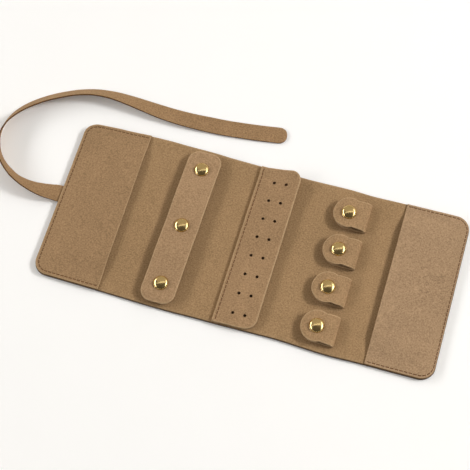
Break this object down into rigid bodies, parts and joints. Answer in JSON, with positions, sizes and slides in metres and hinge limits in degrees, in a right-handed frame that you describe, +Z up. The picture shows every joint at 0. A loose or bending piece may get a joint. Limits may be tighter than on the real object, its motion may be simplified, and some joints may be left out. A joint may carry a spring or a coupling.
{
  "type": "jewelry roll",
  "caption": "Roll-up jewelry case of suede panels with end pockets, a snap-held ring strap, a pierced earring flap, snap loops and a tie strap.",
  "frame": {"origin": "centre of the underside of the roll as it lies open", "axes": "+X along the roll's length from the end with the tie strap, +Y across its width, +Z up out of the lining"},
  "size_m": [0.3848, 0.1713, 0.013],
  "materials": {
    "suede": "napped suede, tan",
    "cover": "finely grained, matt, tan",
    "brass": "polished",
    "snap_metal": "nickel plated"
  },
  "bodies": {
    "left_panel": {"outer_cover_left": "cover", "lining_left": "suede", "left_pocket": "suede", "wrap_strap": "suede"},
    "ring_panel": {"outer_cover_ring": "cover", "lining_ring": "suede", "ring_strap_centre": "suede", "ring_snap_centre_cap": "brass", "ring_snap_centre_socket": "snap_metal", "ring_snap_near_stud": "snap_metal", "ring_snap_near_post": "snap_metal", "ring_snap_centre_stud": "snap_metal", "ring_snap_centre_post": "snap_metal", "ring_snap_far_stud": "snap_metal", "ring_snap_far_post": "snap_metal"},
    "far_strap_half": {"ring_strap_far": "suede", "ring_snap_far_cap": "brass", "ring_snap_far_socket": "snap_metal"},
    "near_strap_half": {"ring_strap_near": "suede", "ring_snap_near_cap": "brass", "ring_snap_near_socket": "snap_metal"},
    "earring_panel": {"outer_cover_earring": "cover", "lining_earring": "suede", "earring_flap_hem": "suede"},
    "flap_leaf": {"earring_flap": "suede"},
    "loop_panel": {"outer_cover_loop": "cover", "lining_loop": "suede", "loop_tab_1_leg": "suede", "loop_tab_2_leg": "suede", "loop_tab_3_leg": "suede", "loop_tab_4_leg": "suede", "tab_snap_1_stud": "snap_metal", "tab_snap_1_post": "snap_metal", "tab_snap_2_stud": "snap_metal", "tab_snap_2_post": "snap_metal", "tab_snap_3_stud": "snap_metal", "tab_snap_3_post": "snap_metal", "tab_snap_4_stud": "snap_metal", "tab_snap_4_post": "snap_metal"},
    "tab_head_1": {"loop_tab_1": "suede", "tab_snap_1_cap": "brass", "tab_snap_1_socket": "snap_metal"},
    "tab_head_2": {"loop_tab_2": "suede", "tab_snap_2_cap": "brass", "tab_snap_2_socket": "snap_metal"},
    "tab_head_3": {"loop_tab_3": "suede", "tab_snap_3_cap": "brass", "tab_snap_3_socket": "snap_metal"},
    "tab_head_4": {"loop_tab_4": "suede", "tab_snap_4_cap": "brass", "tab_snap_4_socket": "snap_metal"},
    "right_panel": {"outer_cover_right": "cover", "lining_right": "suede", "right_pocket": "suede"}
  },
  "joints": [
    {"name": "ring_panel_fold", "type": "hinge", "parent": "left_panel", "child": "ring_panel", "pos_m": [-0.08665, 0, 0.0022], "axis": [0, 1, 0], "range_deg": [-80, 0]},
    {"name": "earring_panel_fold", "type": "hinge", "parent": "ring_panel", "child": "earring_panel", "pos_m": [-0.0277, 0, 0.0022], "axis": [0, 1, 0], "range_deg": [-75, 0]},
    {"name": "loop_panel_fold", "type": "hinge", "parent": "earring_panel", "child": "loop_panel", "pos_m": [0.03765, 0, 0.0022], "axis": [0, 1, 0], "range_deg": [-90, 0]},
    {"name": "right_panel_fold", "type": "hinge", "parent": "loop_panel", "child": "right_panel", "pos_m": [0.09425, 0, 0.0022], "axis": [0, 1, 0], "range_deg": [-105, 0]},
    {"name": "far_strap_lift", "type": "hinge", "parent": "ring_panel", "child": "far_strap_half", "pos_m": [-0.0573, 0.0075, 0.0078], "axis": [1, 0, 0], "range_deg": [0, 80]},
    {"name": "near_strap_lift", "type": "hinge", "parent": "ring_panel", "child": "near_strap_half", "pos_m": [-0.0573, -0.0105, 0.0078], "axis": [-1, 0, 0], "range_deg": [0, 80]},
    {"name": "earring_flap_lift", "type": "hinge", "parent": "earring_panel", "child": "flap_leaf", "pos_m": [-0.0064, 0, 0.0034], "axis": [0, -1, 0], "range_deg": [0, 135]},
    {"name": "tab_1_lift", "type": "hinge", "parent": "loop_panel", "child": "tab_head_1", "pos_m": [0.0819, 0.04465, 0.0037], "axis": [0, 1, 0], "range_deg": [0, 110]},
    {"name": "tab_2_lift", "type": "hinge", "parent": "loop_panel", "child": "tab_head_2", "pos_m": [0.0819, 0.01275, 0.0037], "axis": [0, 1, 0], "range_deg": [0, 110]},
    {"name": "tab_3_lift", "type": "hinge", "parent": "loop_panel", "child": "tab_head_3", "pos_m": [0.0819, -0.01915, 0.0037], "axis": [0, 1, 0], "range_deg": [0, 110]},
    {"name": "tab_4_lift", "type": "hinge", "parent": "loop_panel", "child": "tab_head_4", "pos_m": [0.0819, -0.05105, 0.0037], "axis": [0, 1, 0], "range_deg": [0, 110]}
  ]
}
